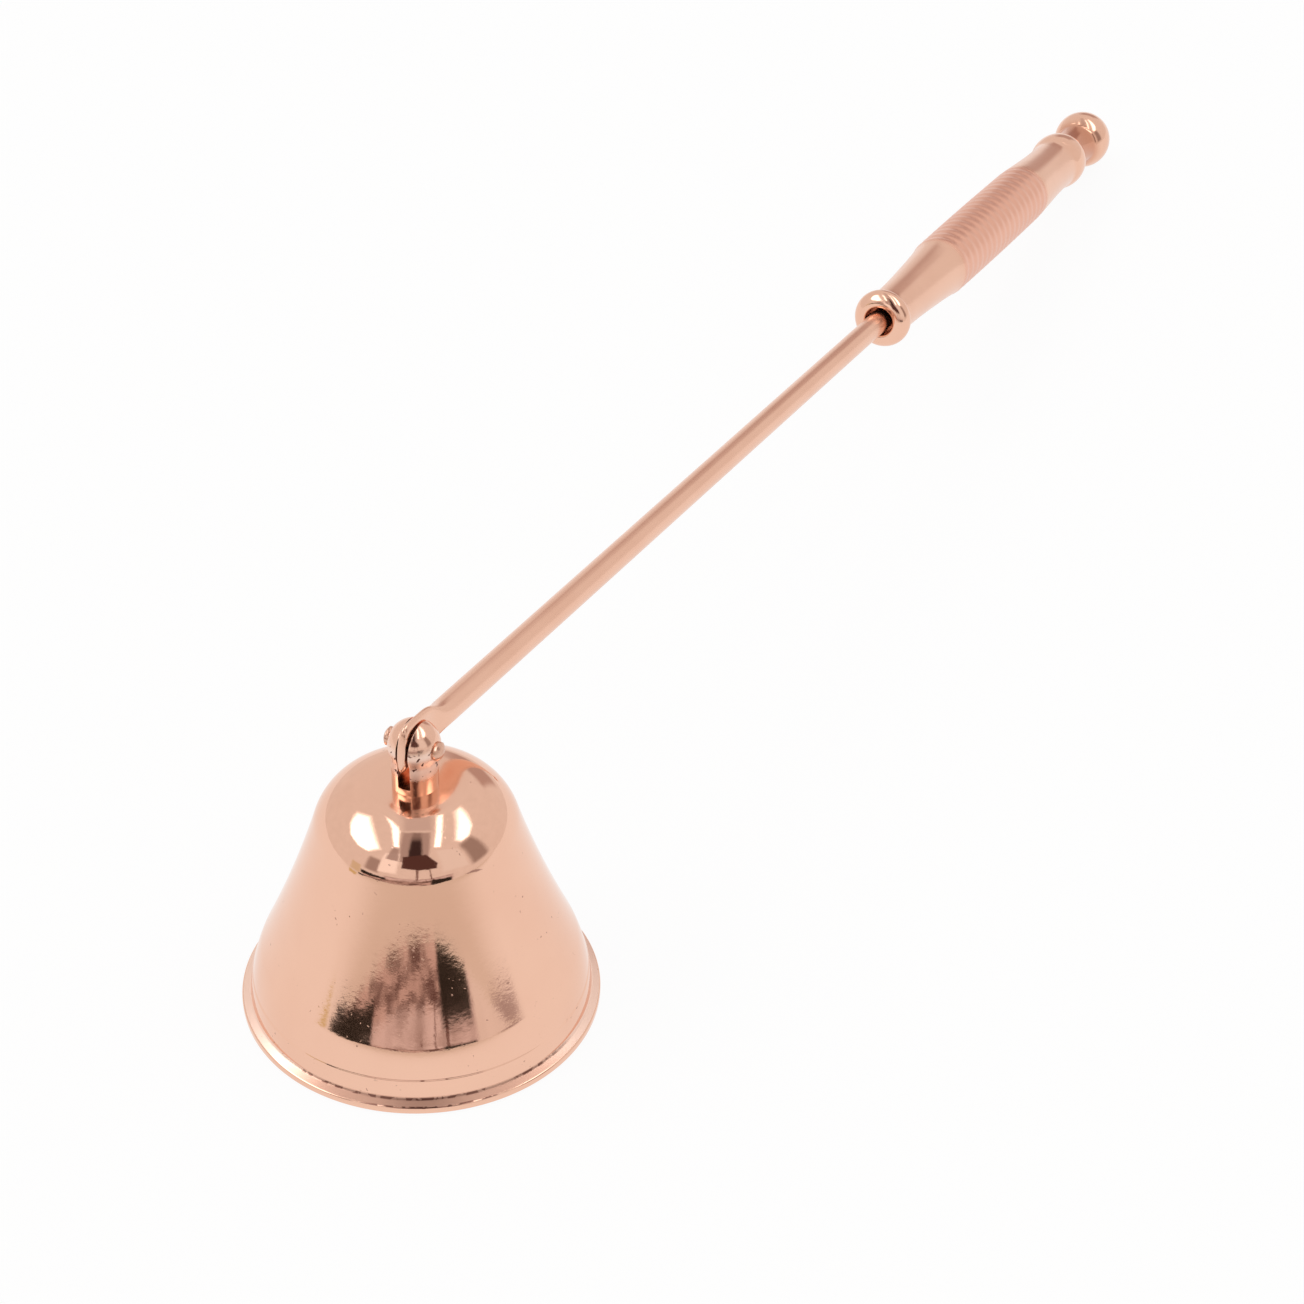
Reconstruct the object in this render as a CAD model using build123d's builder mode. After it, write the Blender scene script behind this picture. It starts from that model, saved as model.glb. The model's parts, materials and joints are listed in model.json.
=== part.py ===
from build123d import *
import os
from math import asin, cos, degrees, radians, sin, sqrt

# Candle snuffer: a bell on a long straight rod, hinged in a slotted yoke, with a turned handle.
# The origin is the centre of the bell's mouth, on the surface that the bell stands on. +Z runs up
# the bell's axis, and the rod lies in the XZ plane, towards +X, with the handle's ball on that same
# surface. All lengths are in millimetres and all angles in degrees.

os.makedirs("parts", exist_ok=True)

# Bell: a thin turned cup with a foot flange, a low belt, a flared wall and a round shoulder.
mouth_d = 32.0
flange_t = 0.75
flange_w = 0.82
flange_edge_r = 0.2
belt_foot_z = 1.1
belt_draw_in = 1.13
belt_top_z = 5.8
belt_bulge = 0.18
bell_h = 23.8
crown_d = 15.6
wall_sag = 0.4
shoulder_r = 5.7
wall_t = 0.9
crown_t = 1.1

# Yoke: a slotted post with a ball-shaped knuckle, and a stud that goes down through the crown.
post_d = 3.8
knuckle_d = 4.6
knuckle_blend_r = 2.0
pivot_rise = 4.2
slot_w = 1.17
slot_floor_rise = 0.65
stud_d = 2.5
stud_tip = 0.6
stud_chamfer = 0.3
stud_hole_gap = 0.05

# Washer and nut on the stud, inside the bell.
washer_d = 6.0
washer_t = 0.5
nut_flats = 5.0
nut_h = 2.0
nut_corner_chamfer = 0.35

# Pivot pin: a rivet through both ears of the yoke and the rod's tongue.
pin_d = 1.2
pin_head_d = 1.7
pin_head_h = 0.7
seat_gap = 0.06
eye_gap = 0.05

# Rod: round wire whose axis passes over the pivot, its lower end flattened to a tongue.
rod_d = 2.4
rod_rise = 0.6
tongue_t = 0.76
tongue_w = 4.5
tongue_top = 2.1
tongue_reach = 2.25
tongue_corner_r = 0.8
tongue_heel_r = 0.4
tongue_straight = 1.6
tongue_taper_end = 4.4
shank_start = 3.3
shank_round_r = 0.85

# Handle: its mouth at a distance along the rod from the pivot, all else from the mouth.
mouth_at = 104.8
ring_d = 6.4
ring_w = 2.5
ring_face_d = 4.4
throat_d = 3.2
throat_depth = 4.0
throat_edge_r = 0.25
socket_depth = 16.0
neck_d = 5.2
neck_at = 5.4
grip_d = 6.94
grip_end_d = 6.8
grip_start_at = 18.2
grip_end_at = 45.6
rib_count = 18
rib_depth = 0.11
waist_d = 5.94
waist_at = 54.7
bead_d = 6.68
bead_at = 59.8
bead_w = 4.8
cove_d = 4.6
cove_at = 64.1
ball_d = 6.86
ball_at = 68.4

# One overrun for all cuts, and the shares that set small forms from the sizes above.
overrun = 1.0
edge_cone_share = 0.5
rib_land_share = 0.5
ball_neck_share = 0.2

mouth_r = mouth_d / 2
belt_foot_r = mouth_r - flange_w
belt_top_r = belt_foot_r - belt_draw_in
crown_r = crown_d / 2
post_r = post_d / 2
knuckle_r = knuckle_d / 2
stud_r = stud_d / 2
pin_r = pin_d / 2
pin_head_r = pin_head_d / 2
rod_r = rod_d / 2
ball_r = ball_d / 2

# The pivot stands over the crown, and the rod drops until the ball touches the surface.
pivot_z = bell_h + pivot_rise
rod_foot_z = pivot_z + rod_rise
rod_drop = degrees(asin((rod_foot_z - ball_r) / (mouth_at + ball_at)))
rod_dir = (cos(radians(rod_drop)), 0, -sin(radians(rod_drop)))
rod_foot = (0, 0, rod_foot_z)
handle_mouth = Vector(rod_foot) + Vector(rod_dir) * mouth_at

# The side planes stand across the hinge: x runs along the rod, from the pivot, from the rod's foot
# above it or from the handle's mouth, and y is across the rod.
pin_plane = Plane(origin=(0, 0, pivot_z), x_dir=rod_dir, z_dir=(0, -1, 0))
side_plane = Plane(origin=rod_foot, x_dir=rod_dir, z_dir=(0, -1, 0))
handle_plane = Plane(origin=handle_mouth, x_dir=rod_dir, z_dir=(0, -1, 0))
mouth_plane = Plane(origin=handle_mouth, x_dir=(0, 1, 0), z_dir=rod_dir)
rod_axis = Axis(rod_foot, rod_dir)
pin_axis = Axis((0, 0, pivot_z), (0, 1, 0))

# Bell. The inner wall follows the outer one at the wall's thickness.
wall_slope = (belt_top_r - crown_r) / (bell_h - belt_top_z)
inner_crown_z = bell_h - crown_t
inner_crown_r = crown_r + crown_t * wall_slope - wall_t
mouth_bore_r = belt_foot_r - wall_t
inner_belt_top_r = belt_top_r - wall_t

with BuildPart() as bell:
    with BuildSketch(Plane.XZ) as bell_section:
        with BuildLine():
            Polyline(
                (mouth_bore_r, belt_foot_z),
                (mouth_bore_r, 0),
                (mouth_r, 0),
                (mouth_r, flange_t),
                (belt_foot_r, belt_foot_z),
            )
            SagittaArc((belt_foot_r, belt_foot_z), (belt_top_r, belt_top_z), -belt_bulge)
            SagittaArc((belt_top_r, belt_top_z), (crown_r, bell_h), wall_sag)
            Polyline((crown_r, bell_h), (0, bell_h), (0, inner_crown_z), (inner_crown_r, inner_crown_z))
            SagittaArc((inner_crown_r, inner_crown_z), (inner_belt_top_r, belt_top_z), -wall_sag)
            Line((inner_belt_top_r, belt_top_z), (mouth_bore_r, belt_foot_z))
        make_face()
        shoulder = bell_section.vertices().sort_by_distance((crown_r, bell_h))[0]
        fillet(shoulder, radius=shoulder_r)
        inner_shoulder = bell_section.vertices().sort_by_distance((inner_crown_r, inner_crown_z))[0]
        fillet(inner_shoulder, radius=shoulder_r - wall_t)
        flange_edges = bell_section.vertices().group_by(Axis.X)[-1]
        fillet(flange_edges, radius=flange_edge_r)
    revolve(axis=Axis.Z)
    with Locations((0, 0, bell_h)):
        Hole(radius=stud_r + stud_hole_gap, depth=crown_t)
bell.part.label = "bell"

# Washer and nut, stacked under the crown.
washer_z = inner_crown_z - washer_t
nut_z = washer_z - nut_h
stud_end_z = nut_z - stud_tip
nut_corner_r = nut_flats / sqrt(3)
nut_face_r = nut_corner_r - nut_corner_chamfer
nut_edge_h = nut_corner_chamfer * edge_cone_share

with BuildPart() as washer:
    with BuildSketch(Plane.XY.offset(washer_z)):
        Circle(washer_d / 2)
        Circle(stud_r + stud_hole_gap, mode=Mode.SUBTRACT)
    extrude(amount=washer_t)
washer.part.label = "washer"

with BuildPart() as nut:
    with BuildSketch(Plane.XY.offset(nut_z)):
        RegularPolygon(radius=nut_flats / 2, side_count=6, major_radius=False)
    extrude(amount=nut_h)
    with BuildSketch(Plane.XZ):
        with BuildLine():
            Polyline(
                (0, nut_z),
                (nut_face_r, nut_z),
                (nut_corner_r, nut_z + nut_edge_h),
                (nut_corner_r, washer_z - nut_edge_h),
                (nut_face_r, washer_z),
                (0, washer_z),
                close=True,
            )
        make_face()
    revolve(axis=Axis.Z, mode=Mode.INTERSECT)
    with Locations((0, 0, washer_z)):
        Hole(radius=stud_r, depth=nut_h)
nut.part.label = "nut"

# Yoke: the post and its knuckle are turned, then slotted along the rod and drilled across it.
slot_floor_z = bell_h + slot_floor_rise
knuckle_foot_z = pivot_z - sqrt(knuckle_r**2 - post_r**2)
pin_seat_y = sqrt(knuckle_r**2 - (pin_head_r + seat_gap) ** 2)

with BuildPart() as yoke:
    with BuildSketch(Plane.XZ) as yoke_section:
        with BuildLine():
            Polyline(
                (0, stud_end_z),
                (stud_r - stud_chamfer, stud_end_z),
                (stud_r, stud_end_z + stud_chamfer),
                (stud_r, bell_h),
                (post_r, bell_h),
                (post_r, knuckle_foot_z),
            )
            ThreePointArc((post_r, knuckle_foot_z), (knuckle_r, pivot_z), (0, pivot_z + knuckle_r))
            Line((0, pivot_z + knuckle_r), (0, stud_end_z))
        make_face()
        knuckle_foot = yoke_section.vertices().sort_by_distance((post_r, knuckle_foot_z))[0]
        fillet(knuckle_foot, radius=knuckle_blend_r)
    revolve(axis=Axis.Z)
    with BuildSketch(Plane.XY.offset(slot_floor_z)):
        Rectangle(knuckle_d + overrun, slot_w)
    extrude(amount=pivot_z + knuckle_r + overrun - slot_floor_z, mode=Mode.SUBTRACT)
    with BuildSketch(pin_plane):
        Circle(pin_r)
    extrude(amount=knuckle_r + overrun, both=True, mode=Mode.SUBTRACT)
    for side in (-1, 1):
        with BuildSketch(Plane(origin=(0, side * pin_seat_y, pivot_z), z_dir=(0, side, 0))):
            Circle(pin_head_r + seat_gap)
        extrude(amount=knuckle_r, mode=Mode.SUBTRACT)
yoke.part.label = "yoke"

# Pivot pin: one half is turned about the hinge's axis and mirrored.
head_edge_y = pin_seat_y + pin_head_h * edge_cone_share
pin_end_y = pin_seat_y + pin_head_h
head_dome_r = (pin_head_r**2 + (pin_end_y - head_edge_y) ** 2) / (2 * (pin_end_y - head_edge_y))

with BuildPart() as pivot_pin:
    with BuildSketch(Plane.XY.offset(pivot_z)):
        with BuildLine():
            Polyline(
                (0, 0),
                (pin_r, 0),
                (pin_r, pin_seat_y),
                (pin_head_r, pin_seat_y),
                (pin_head_r, head_edge_y),
            )
            RadiusArc((pin_head_r, head_edge_y), (0, pin_end_y), -head_dome_r)
            Line((0, pin_end_y), (0, 0))
        make_face()
    revolve(axis=pin_axis)
    mirror(about=Plane.XZ)
pivot_pin.part.label = "pivot_pin"

# Rod: the tongue is a flat plate with an eye, and the round shank grows out of it.
rod_end_at = mouth_at + socket_depth

with BuildPart() as rod:
    with BuildSketch(side_plane) as tongue_outline:
        with BuildLine():
            Polyline(
                (-tongue_reach, tongue_top - tongue_w),
                (tongue_straight, tongue_top - tongue_w),
                (tongue_taper_end, -rod_r),
                (tongue_taper_end, rod_r),
                (tongue_straight, tongue_top),
                (-tongue_reach, tongue_top),
                close=True,
            )
        make_face()
        fillet(tongue_outline.vertices().group_by(Axis.X)[-2], radius=tongue_w / 2)
        tongue_end = tongue_outline.vertices().group_by(Axis.X)[0].sort_by(Axis.Y)
        fillet(tongue_end[-1], radius=tongue_corner_r)
        tongue_heel = tongue_outline.vertices().group_by(Axis.X)[0].sort_by(Axis.Y)
        fillet(tongue_heel[0], radius=tongue_heel_r)
    extrude(amount=tongue_t / 2, both=True)
    with BuildSketch(side_plane) as shank_section:
        with BuildLine():
            Polyline(
                (shank_start, 0), (shank_start, rod_r), (rod_end_at, rod_r), (rod_end_at, 0), close=True
            )
        make_face()
        shank_corner = shank_section.vertices().sort_by_distance((shank_start, rod_r))[0]
        fillet(shank_corner, radius=shank_round_r)
    revolve(axis=rod_axis)
    with BuildSketch(pin_plane):
        Circle(pin_r + eye_gap)
    extrude(amount=tongue_t, both=True, mode=Mode.SUBTRACT)
rod.part.label = "rod"

# Handle: one turned outline from the ring at the mouth to the ball.
ring_r = ring_d / 2
ring_face_r = ring_face_d / 2
neck_r = neck_d / 2
grip_r = grip_d / 2
grip_end_r = grip_end_d / 2
waist_r = waist_d / 2
bead_r = bead_d / 2
cove_r = cove_d / 2
bead_start_at = bead_at - bead_w / 2
bead_end_at = bead_at + bead_w / 2
ball_neck_r = cove_r + (ball_r - cove_r) * ball_neck_share
ball_neck_at = ball_at - sqrt(ball_r**2 - ball_neck_r**2)
rib_pitch = (grip_end_at - grip_start_at) / rib_count
rib_rise = rib_depth / 2


def grip_radius(along):
    """Radius of the grip's crowned outline at a distance from the handle's mouth."""
    middle = (grip_start_at + grip_end_at) / 2
    share = (along - middle) / (grip_end_at - middle)
    return grip_r - (grip_r - grip_end_r) * share**2


with BuildPart() as handle:
    with BuildSketch(handle_plane):
        with BuildLine():
            Polyline((ball_at + ball_r, 0), (0, 0), (0, ring_face_r))
            ThreePointArc((0, ring_face_r), (ring_w / 2, ring_r), (ring_w, neck_r))
            Spline(
                (ring_w, neck_r),
                (neck_at, neck_r),
                (grip_start_at, grip_end_r),
                tangents=((1, 0), (grip_start_at - neck_at, 2 * (grip_end_r - neck_r))),
            )
            for rib in range(rib_count):
                start = grip_start_at + rib * rib_pitch
                groove = start + rib_pitch * rib_land_share
                end = start + rib_pitch
                crest = (start + groove) / 2
                valley = (groove + end) / 2
                ThreePointArc(
                    (start, grip_radius(start)),
                    (crest, grip_radius(crest) + rib_rise),
                    (groove, grip_radius(groove)),
                )
                ThreePointArc(
                    (groove, grip_radius(groove)),
                    (valley, grip_radius(valley) - rib_rise),
                    (end, grip_radius(end)),
                )
            Spline(
                (grip_end_at, grip_end_r),
                (waist_at, waist_r),
                (bead_start_at, waist_r),
                tangents=((waist_at - grip_end_at, 2 * (waist_r - grip_end_r)), (1, 0)),
            )
            ThreePointArc((bead_start_at, waist_r), (bead_at, bead_r), (bead_end_at, cove_r))
            ThreePointArc((bead_end_at, cove_r), (cove_at, cove_r), (ball_neck_at, ball_neck_r))
            ThreePointArc((ball_neck_at, ball_neck_r), (ball_at, ball_r), (ball_at + ball_r, 0))
        make_face()
    revolve(axis=rod_axis)
    with BuildSketch(mouth_plane):
        Circle(throat_d / 2)
    extrude(amount=throat_depth, mode=Mode.SUBTRACT)
    throat_rim = handle.edges().sort_by_distance(handle_mouth)[0]
    fillet(throat_rim, radius=throat_edge_r)
    with BuildSketch(mouth_plane):
        Circle(rod_r)
    extrude(amount=socket_depth, mode=Mode.SUBTRACT)
handle.part.label = "handle"

for piece in (bell, yoke, washer, nut, pivot_pin, rod, handle):
    export_step(piece.part, f"parts/{piece.part.label}.step")
    size = piece.part.bounding_box().size
    print(f"{piece.part.label}: {size.X:.2f} x {size.Y:.2f} x {size.Z:.2f} mm")
print(f"rod slopes down by {rod_drop:.3f} degrees, pivot at z = {pivot_z:.2f} mm")
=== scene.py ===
# %% [markdown]
# # A candle snuffer in polished rose gold
#
# The real object is a small turned bell that swings on the end of a long wire, with a turned
# handle at the other end. Everything you can touch is metal, so most of what you see is a
# reflection. That makes this a lesson in three things: clean turned shapes, a metal finish with
# the small faults of real plating, and a studio worth reflecting.
#
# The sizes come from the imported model, which is loaded first and stays as it is.

# %% Load the frame
import json
import math
import bpy
from mathutils import Matrix, Vector


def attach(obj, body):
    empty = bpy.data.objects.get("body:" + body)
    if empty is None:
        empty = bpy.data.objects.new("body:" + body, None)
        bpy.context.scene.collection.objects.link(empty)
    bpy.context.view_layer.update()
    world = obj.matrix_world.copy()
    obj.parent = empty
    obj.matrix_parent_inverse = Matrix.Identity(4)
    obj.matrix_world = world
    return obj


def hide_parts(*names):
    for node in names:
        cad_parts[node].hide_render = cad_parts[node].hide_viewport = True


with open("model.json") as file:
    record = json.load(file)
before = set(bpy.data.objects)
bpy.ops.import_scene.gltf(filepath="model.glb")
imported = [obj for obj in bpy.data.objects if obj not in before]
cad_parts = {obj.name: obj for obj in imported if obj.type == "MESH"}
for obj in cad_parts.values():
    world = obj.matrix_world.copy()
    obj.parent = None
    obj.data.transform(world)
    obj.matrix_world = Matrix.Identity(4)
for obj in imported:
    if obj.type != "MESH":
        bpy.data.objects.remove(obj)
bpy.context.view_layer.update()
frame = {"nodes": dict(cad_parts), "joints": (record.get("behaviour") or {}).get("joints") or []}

print("pieces in the frame:", ", ".join(sorted(frame["nodes"])))

# %% [markdown]
# ## Units and the two axes
#
# The drawing of such a part is in millimetres, and Blender works in metres, so one value turns the
# one into the other. The bell stands on its own axis, Z. The rod and its handle lie on a second
# axis, which passes just above the hinge's pin and slopes down until the ball touches the table.

# %% Units, hinge and rod axis
mm = 0.001
hinge = frame["joints"][0]
pin_place = Vector(hinge["pos_m"])
pin_height = pin_place.z / mm
rod_rise = 0.6
rod_foot = pin_place + Vector((0, 0, rod_rise * mm))
ball_radius = 3.43
ball_station = 173.2
rod_slope = math.asin((rod_foot.z / mm - ball_radius) / ball_station)
rod_turn = Matrix.Rotation(math.pi / 2 + rod_slope, 4, "Y")
print(f"pin {pin_height:.1f} mm up, rod slopes by {math.degrees(rod_slope):.2f} degrees")

# %% [markdown]
# ## Turning on a lathe
#
# The bell, the yoke's post, the rivet and the handle are all turned parts. A lathe cuts one
# outline, and the spindle repeats it all the way round. Blender's Spin does the same: one vertex
# is extruded along the outline, and the line is spun through a full circle. The alternative, a
# cylinder with many scaled loops, gives the same shape but makes small radii hard to place.
#
# Two helpers write the curved stretches of an outline: a round corner about a centre, and a
# shallow bow between two points, which is how a draughtsman notes a sagging wall.

# %% Helpers: arcs of an outline
def round_corner(centre, radius, start, end, steps):
    """Points on a circle about a centre, from one angle to another, in degrees."""
    points = []
    for step in range(steps + 1):
        angle = math.radians(start + (end - start) * step / steps)
        points.append((centre[0] + radius * math.cos(angle), centre[1] + radius * math.sin(angle)))
    return points


def bow(start, end, sagitta, steps):
    """Points on a shallow arc whose middle stands to the left of its chord by the sagitta."""
    along = Vector((end[0] - start[0], end[1] - start[1]))
    left = Vector((-along.y, along.x)).normalized()
    points = []
    for step in range(steps + 1):
        share = step / steps
        place = Vector(start) + along * share + left * sagitta * 4 * share * (1 - share)
        points.append(tuple(place))
    return points


# %% Helper: the lathe
def deselect_all():
    """Leaves nothing selected, so that the next operator touches only its own piece."""
    if bpy.context.mode != "OBJECT":
        bpy.ops.object.mode_set(mode="OBJECT")
    bpy.ops.object.select_all(action="DESELECT")


def turn(name, outline, steps, closed=False):
    """Spins an outline of (radius, height) points, in millimetres, round the Z axis."""
    deselect_all()
    first = outline[0]
    bpy.ops.mesh.primitive_plane_add(size=mm, location=(0, 0, 0))
    piece = bpy.context.object
    piece.name = name
    bpy.ops.object.mode_set(mode="EDIT")
    bpy.ops.mesh.merge(type="CENTER")
    bpy.ops.transform.translate(value=(first[0] * mm, 0, first[1] * mm))
    path = outline + [first] if closed else outline
    for last, point in zip(path, path[1:]):
        step = ((point[0] - last[0]) * mm, 0, (point[1] - last[1]) * mm)
        bpy.ops.mesh.extrude_vertices_move(TRANSFORM_OT_translate={"value": step})
    bpy.ops.mesh.select_all(action="SELECT")
    bpy.ops.mesh.spin(steps=steps, angle=math.tau, center=(0, 0, 0), axis=(0, 0, 1))
    bpy.ops.mesh.select_all(action="SELECT")
    bpy.ops.mesh.remove_doubles(threshold=mm / 500)
    bpy.ops.mesh.normals_make_consistent(inside=False)
    bpy.ops.object.mode_set(mode="OBJECT")
    print(f"{name}: {len(outline)} points turned into {len(piece.data.polygons)} faces")
    return piece


def settle(piece, turn_by, place):
    """Turns and moves a piece, then puts its place into its mesh."""
    deselect_all()
    piece.select_set(True)
    bpy.context.view_layer.objects.active = piece
    piece.matrix_world = Matrix.Translation(place) @ turn_by
    bpy.ops.object.transform_apply(location=True, rotation=True, scale=True)


def smooth(piece, degrees):
    """Shades smoothly over every edge blunter than the given angle."""
    deselect_all()
    piece.select_set(True)
    bpy.context.view_layer.objects.active = piece
    bpy.ops.object.shade_smooth_by_angle(angle=math.radians(degrees))


# %% [markdown]
# ## The bell's outline
#
# From the outside in: a flat crown, a round shoulder, a wall that sags a little between shoulder
# and belt, a low belt with a fine scribed step, and a thin foot flange. Inside, the wall follows at
# 0.9 mm. The wall shows a very narrow band of the room, so half a degree of slope moves a
# reflection by millimetres. That is why the long curves get many points and the corners between
# them get their own very short steps.

# %% Bell: sizes and outline
bell_height = 23.8
shoulder_radius = 5.7
belt_top = (14.05, 5.8)
belt_foot = (15.18, 1.1)
wall_head = (7.8, bell_height)
wall_sag = 0.4
wall_thickness = 0.9
crown_thickness = 1.1
stud_hole_radius = 1.3
belt_bow = -0.18
flange_radius = 16.0
flange_height = 0.75
flange_slope = 26
rim_radius = 0.2
edge_radius = 0.2
corner_radius = 0.36
step_height = 2.95
step_depth = 0.055
step_width = 0.26


def bow_centre(start, end, sagitta):
    """Centre and radius of the circle that a bow lies on, to the left of its chord."""
    chord = Vector((end[0] - start[0], end[1] - start[1]))
    radius = (chord.length**2 / 4 + sagitta**2) / (2 * sagitta)
    left = Vector((-chord.y, chord.x)).normalized()
    centre = (Vector(start) + Vector(end)) / 2 - left * (radius - sagitta)
    return centre, radius


def shouldered_wall(foot, head, sag, corner, wall_steps, corner_steps):
    """A sagging wall from foot to head that ends in a round corner under a flat crown."""
    centre, radius = bow_centre(foot, head, sag)
    corner_height = head[1] - corner
    reach = math.sqrt((radius + corner) ** 2 - (corner_height - centre.y) ** 2)
    corner_centre = Vector((centre.x - reach, corner_height))
    to_wall = (centre - corner_centre).normalized()
    start = math.atan2(foot[1] - centre.y, foot[0] - centre.x)
    end = math.atan2(-to_wall.y, -to_wall.x)
    if start < 0:
        start += math.tau
    if end < 0:
        end += math.tau
    wall = round_corner(centre, radius, math.degrees(start), math.degrees(end), wall_steps)
    corner_start = math.degrees(math.atan2(to_wall.y, to_wall.x))
    rounding = round_corner(corner_centre, corner, corner_start, 90, corner_steps)
    return wall + rounding[1:]


wall_steps = 48
outer_wall = shouldered_wall(belt_top, wall_head, wall_sag, shoulder_radius, wall_steps, 28)
slope = (belt_top[0] - wall_head[0]) / (bell_height - belt_top[1])
inner_foot = (belt_top[0] - wall_thickness, belt_top[1])
inner_head = (
    wall_head[0] + crown_thickness * slope - wall_thickness,
    bell_height - crown_thickness,
)
inner_wall = shouldered_wall(
    inner_foot, inner_head, wall_sag, shoulder_radius - wall_thickness, 24, 12
)
bore = belt_foot[0] - wall_thickness
rim = round_corner((flange_radius - rim_radius, rim_radius), rim_radius, -90, 0, 5)

edge_centre = (flange_radius - edge_radius, flange_height - edge_radius)
edge = round_corner(edge_centre, edge_radius, 0, 90 - flange_slope, 8)
corner_x = belt_foot[0] + corner_radius
lean = math.radians(90 - flange_slope)
offset_x = edge[-1][0] + corner_radius * math.cos(lean)
offset_z = edge[-1][1] + corner_radius * math.sin(lean)
corner_z = offset_z + (offset_x - corner_x) * math.tan(math.radians(flange_slope))
corner = round_corner((corner_x, corner_z), corner_radius, 270 - flange_slope, 185, 10)

shortest_gap = 0.03
belt = bow(belt_foot, belt_top, belt_bow, 90)
belt = [point for point in belt if point[1] > corner[-1][1] + shortest_gap]
for index, (radius, height) in enumerate(belt):
    share = min(max((step_height - height) / step_width + 0.5, 0), 1)
    belt[index] = (radius + step_depth * share * share * (3 - 2 * share), height)

crown_turn_radius = 2.6
bell_outline = (
    [(bore, 0.0)]
    + rim
    + edge
    + corner
    + belt
    + outer_wall[1:]
    + [(crown_turn_radius, bell_height), (stud_hole_radius, bell_height)]
    + [(stud_hole_radius, inner_head[1])]
    + inner_wall[::-1]
    + [(bore, belt_foot[1])]
)
meeting = outer_wall[wall_steps]
print(f"wall meets shoulder at radius {meeting[0]:.2f}, height {meeting[1]:.2f} mm")

# %% Bell: turn it
bell = turn("turned_bell", bell_outline, 256, closed=True)
smooth(bell, 32)
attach(bell, "bell_group")
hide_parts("bell")

# %% [markdown]
# ## The yoke
#
# The yoke is turned too: a threaded stud, a post and a ball. Then a saw cuts the slot that the
# rod's tongue swings in, and a drill makes the pin's hole with a flat seat at each end. Boolean
# modifiers are the saw and the drill here, since both cuts run through a round body. A narrow
# bevel breaks the sharp edges that the cuts leave, as tumbling and plating do.

# %% Yoke: sizes and outline
post_radius = 2.02
knuckle_radius = 2.3
knuckle_blend = 2.0
stud_radius = 1.25
slot_width = 1.17
slot_floor = bell_height + 0.65
broken_edge = 0.07
pin_radius = 0.6
head_radius = 0.85
spot_radius = head_radius + 0.06
seat = math.sqrt(knuckle_radius**2 - spot_radius**2)

blend_reach = post_radius + knuckle_blend
blend_drop = math.sqrt((knuckle_radius + knuckle_blend) ** 2 - blend_reach**2)
blend_angle = math.degrees(math.atan2(-blend_drop, blend_reach))
blend_centre = (blend_reach, pin_height - blend_drop)

stud_foot = 19.6
stud_tip_radius = 0.95
thread_depth = 0.14
thread_pitch = 0.44
thread_start = 19.9
thread_end = 22.0
stud_plain = 22.3
thread = []
thread_height = thread_start
while thread_height < thread_end:
    thread.append((stud_radius, thread_height))
    thread.append((stud_radius - thread_depth, thread_height + thread_pitch / 2))
    thread_height += thread_pitch

yoke_outline = (
    [(0, stud_foot), (stud_tip_radius, stud_foot)]
    + thread
    + [(stud_radius, stud_plain), (stud_radius, bell_height), (post_radius, bell_height)]
    + round_corner(blend_centre, knuckle_blend, 180, 180 + blend_angle, 10)
    + round_corner((0, pin_height), knuckle_radius, blend_angle, 90, 26)[1:]
)
print(f"pin seats {seat:.2f} mm from the middle, blend starts {blend_centre[1]:.2f} mm up")


# %% Yoke: turn, saw and drill
def cut_away(piece, cutter):
    """Cuts one piece with another and removes the cutter."""
    deselect_all()
    piece.select_set(True)
    bpy.context.view_layer.objects.active = piece
    saw = piece.modifiers.new("saw", "BOOLEAN")
    saw.operation = "DIFFERENCE"
    saw.solver = "EXACT"
    saw.object = cutter
    bpy.ops.object.modifier_apply(modifier=saw.name)
    bpy.data.objects.remove(cutter)


yoke = turn("turned_yoke", yoke_outline, 96)

deselect_all()
slot_height = 8.0
slot_reach = 8.0
bpy.ops.mesh.primitive_cube_add(size=1, location=(0, 0, (slot_floor + slot_height / 2) * mm))
slot_saw = bpy.context.object
slot_saw.scale = (slot_reach * mm, slot_width * mm, slot_height * mm)
bpy.ops.object.transform_apply(location=True, rotation=True, scale=True)
cut_away(yoke, slot_saw)

drill_end = 4
drill_outline = [
    (0, -drill_end),
    (spot_radius, -drill_end),
    (spot_radius, -seat),
    (pin_radius, -seat),
    (pin_radius, seat),
    (spot_radius, seat),
    (spot_radius, drill_end),
    (0, drill_end),
]
drill = turn("drill", drill_outline, 48)
settle(drill, Matrix.Rotation(math.pi / 2, 4, "X"), pin_place)
cut_away(yoke, drill)

edge_break = yoke.modifiers.new("edge_break", "BEVEL")
edge_break.width = broken_edge * mm
edge_break.segments = 3
edge_break.limit_method = "ANGLE"
edge_break.angle_limit = math.radians(50)
bpy.context.view_layer.objects.active = yoke
yoke.select_set(True)
bpy.ops.object.modifier_apply(modifier=edge_break.name)
smooth(yoke, 35)
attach(yoke, "bell_group")
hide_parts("yoke")
print(f"yoke: {len(yoke.data.polygons)} faces after the cuts")

# %% [markdown]
# ## The rivet
#
# A rivet is a pin whose ends are hammered into low domes. Turned about its own axis and laid
# across the hinge, it fills the drilled hole and its heads sit on the two flat seats.

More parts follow.
